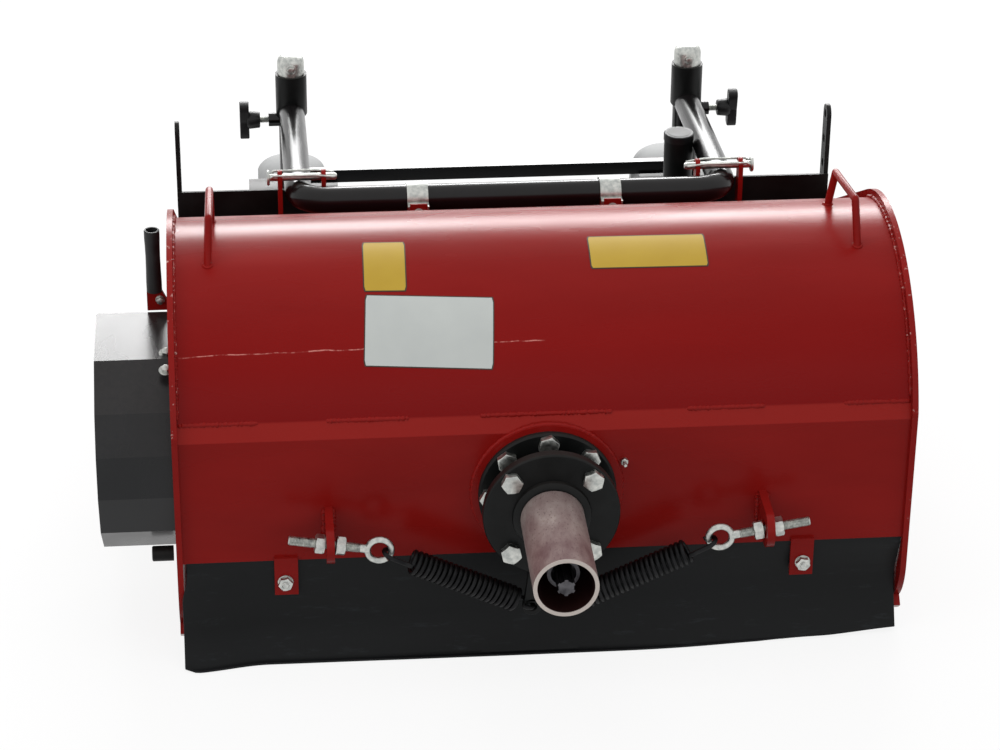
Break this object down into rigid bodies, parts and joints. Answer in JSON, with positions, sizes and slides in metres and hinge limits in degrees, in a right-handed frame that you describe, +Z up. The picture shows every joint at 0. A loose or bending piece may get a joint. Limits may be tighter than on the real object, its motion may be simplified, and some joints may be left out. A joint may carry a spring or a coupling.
{
  "type": "tractor mulcher",
  "caption": "Flail mulcher head for a two-wheel tractor: rounded hood, sprung swivel coupling, side belt drive, skids and caster wheels on a front frame.",
  "frame": {"origin": "middle of the coupling tube's open end, on its axis", "axes": "+X to the machine's right, +Y forward, away from the tractor, +Z up; the ground is 183 mm below the origin"},
  "size_m": [0.846, 1.0809, 0.459],
  "materials": {
    "red_shell": "gloss",
    "red_part": "gloss",
    "black_part": "gloss",
    "black_steel": "satin",
    "zinc": "satin",
    "primer_tube": "matte",
    "bare_steel": "satin",
    "cast_case": "matte",
    "knob_plastic": "matte",
    "grip_plastic": "gloss",
    "flap_rubber": "matte",
    "wheel_plastic": "satin",
    "tyre_grey": "matte"
  },
  "bodies": {
    "hood": {"back_ring": "black_steel", "belt_lever": "red_part", "capped_socket": "black_steel", "carry_loop_left": "red_part", "carry_loop_right": "red_part", "drive_cover": "black_part", "end_plate_left": "red_shell", "end_plate_right": "red_shell", "eye_bolt_left": "zinc", "eye_bolt_right": "zinc", "flap_tabs": "red_part", "front_guard": "red_part", "gearbox": "cast_case", "guard_bar_left": "black_steel", "guard_bar_right": "black_steel", "hood_shell": "red_shell", "knob_left": "knob_plastic", "knob_right": "knob_plastic", "lever_grip": "grip_plastic", "lock_ears": "red_part", "lock_pin_left": "zinc", "lock_pin_right": "zinc", "rear_flap": "flap_rubber", "rotor_bearing": "black_steel", "saddle_brackets": "red_part", "saddle_straps": "zinc", "skid_left": "red_part", "skid_right": "red_part", "spring_bracket_left": "red_part", "spring_bracket_right": "red_part", "spring_left": "black_steel", "spring_right": "black_steel", "swivel_collar": "red_part", "wheel_frame": "black_part"},
    "coupling": {"swivel_hub": "black_steel", "coupling_tube": "primer_tube"},
    "pto_shaft": {"pto_shaft": "bare_steel"},
    "rotor": {"rotor_drum": "bare_steel", "rotor_flails": "bare_steel"},
    "caster_left": {"caster_fork_left": "black_steel", "stem_cap_left": "zinc"},
    "wheel_left": {"wheel_hub_left": "wheel_plastic", "tyre_left": "tyre_grey"},
    "caster_right": {"caster_fork_right": "black_steel", "stem_cap_right": "zinc"},
    "wheel_right": {"wheel_hub_right": "wheel_plastic", "tyre_right": "tyre_grey"}
  },
  "joints": [
    {"name": "coupling_swing", "type": "hinge", "parent": "hood", "child": "coupling", "pos_m": [0, 0.148, 0], "axis": [0, 1, 0], "range_deg": [-8, 8], "stiffness_Nm_per_rad": 150, "deforming": ["spring_left", "spring_right"]},
    {"name": "pto_spin", "type": "hinge", "parent": "hood", "child": "pto_shaft", "pos_m": [0, 0.11086, 0], "axis": [0, 1, 0], "continuous": true},
    {"name": "rotor_spin", "type": "hinge", "parent": "hood", "child": "rotor", "pos_m": [0, 0.42086, -0.048], "axis": [1, 0, 0], "continuous": true},
    {"name": "caster_swivel_left", "type": "hinge", "parent": "hood", "child": "caster_left", "pos_m": [-0.235, 0.88086, 0.101], "axis": [0, 0, 1], "continuous": true},
    {"name": "wheel_spin_left", "type": "hinge", "parent": "caster_left", "child": "wheel_left", "pos_m": [-0.235, 0.98086, -0.083], "axis": [1, 0, 0], "continuous": true},
    {"name": "caster_swivel_right", "type": "hinge", "parent": "hood", "child": "caster_right", "pos_m": [0.235, 0.88086, 0.101], "axis": [0, 0, 1], "continuous": true},
    {"name": "wheel_spin_right", "type": "hinge", "parent": "caster_right", "child": "wheel_right", "pos_m": [0.235, 0.98086, -0.083], "axis": [1, 0, 0], "continuous": true}
  ]
}
